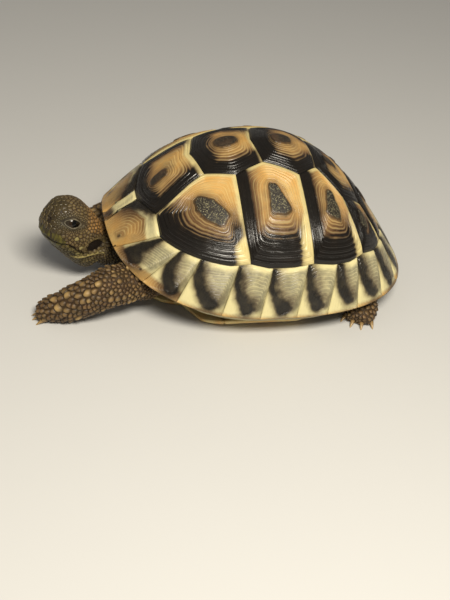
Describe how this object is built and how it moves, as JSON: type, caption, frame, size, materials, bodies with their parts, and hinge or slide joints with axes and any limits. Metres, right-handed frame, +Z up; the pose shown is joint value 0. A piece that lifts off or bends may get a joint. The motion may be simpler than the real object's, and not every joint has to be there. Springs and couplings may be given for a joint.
{
  "type": "tortoise",
  "caption": "Young tortoise lying on its plastron, head raised and turned to its left, left foreleg stretched forward, domed shell of separate scutes.",
  "frame": {"origin": "on the floor under the middle of the box round the whole animal", "axes": "+Z up; the head points towards -Y; the animal's left is towards +X"},
  "size_m": [0.082, 0.1266, 0.0525],
  "materials": {
    "shell_horn": "grooved horn, satin, black and ochre",
    "belly_horn": "smooth horn, satin, ochre with dark bands",
    "skin": "scaly skin, olive brown",
    "eye": "wet and glossy, near black"
  },
  "bodies": {
    "root": {"abdominal_left": "belly_horn", "abdominal_right": "belly_horn", "anal_left": "belly_horn", "anal_right": "belly_horn", "costal_left_1": "shell_horn", "costal_left_2": "shell_horn", "costal_left_3": "shell_horn", "costal_left_4": "shell_horn", "costal_right_1": "shell_horn", "costal_right_2": "shell_horn", "costal_right_3": "shell_horn", "costal_right_4": "shell_horn", "eye_left": "eye", "eye_right": "eye", "femoral_left": "belly_horn", "femoral_right": "belly_horn", "foreleg_left": "skin", "foreleg_right": "skin", "gular_left": "belly_horn", "gular_right": "belly_horn", "head": "skin", "hindleg_left": "skin", "hindleg_right": "skin", "humeral_left": "belly_horn", "humeral_right": "belly_horn", "marginal_left_1": "shell_horn", "marginal_left_10": "shell_horn", "marginal_left_11": "shell_horn", "marginal_left_2": "shell_horn", "marginal_left_3": "shell_horn", "marginal_left_4": "shell_horn", "marginal_left_5": "shell_horn", "marginal_left_6": "shell_horn", "marginal_left_7": "shell_horn", "marginal_left_8": "shell_horn", "marginal_left_9": "shell_horn", "marginal_right_1": "shell_horn", "marginal_right_10": "shell_horn", "marginal_right_11": "shell_horn", "marginal_right_2": "shell_horn", "marginal_right_3": "shell_horn", "marginal_right_4": "shell_horn", "marginal_right_5": "shell_horn", "marginal_right_6": "shell_horn", "marginal_right_7": "shell_horn", "marginal_right_8": "shell_horn", "marginal_right_9": "shell_horn", "neck": "skin", "nuchal": "shell_horn", "pectoral_left": "belly_horn", "pectoral_right": "belly_horn", "supracaudal_left": "shell_horn", "supracaudal_right": "shell_horn", "tail": "skin", "trunk": "skin", "vertebral_1": "shell_horn", "vertebral_2": "shell_horn", "vertebral_3": "shell_horn", "vertebral_4": "shell_horn", "vertebral_5": "shell_horn"}
  },
  "joints": []
}
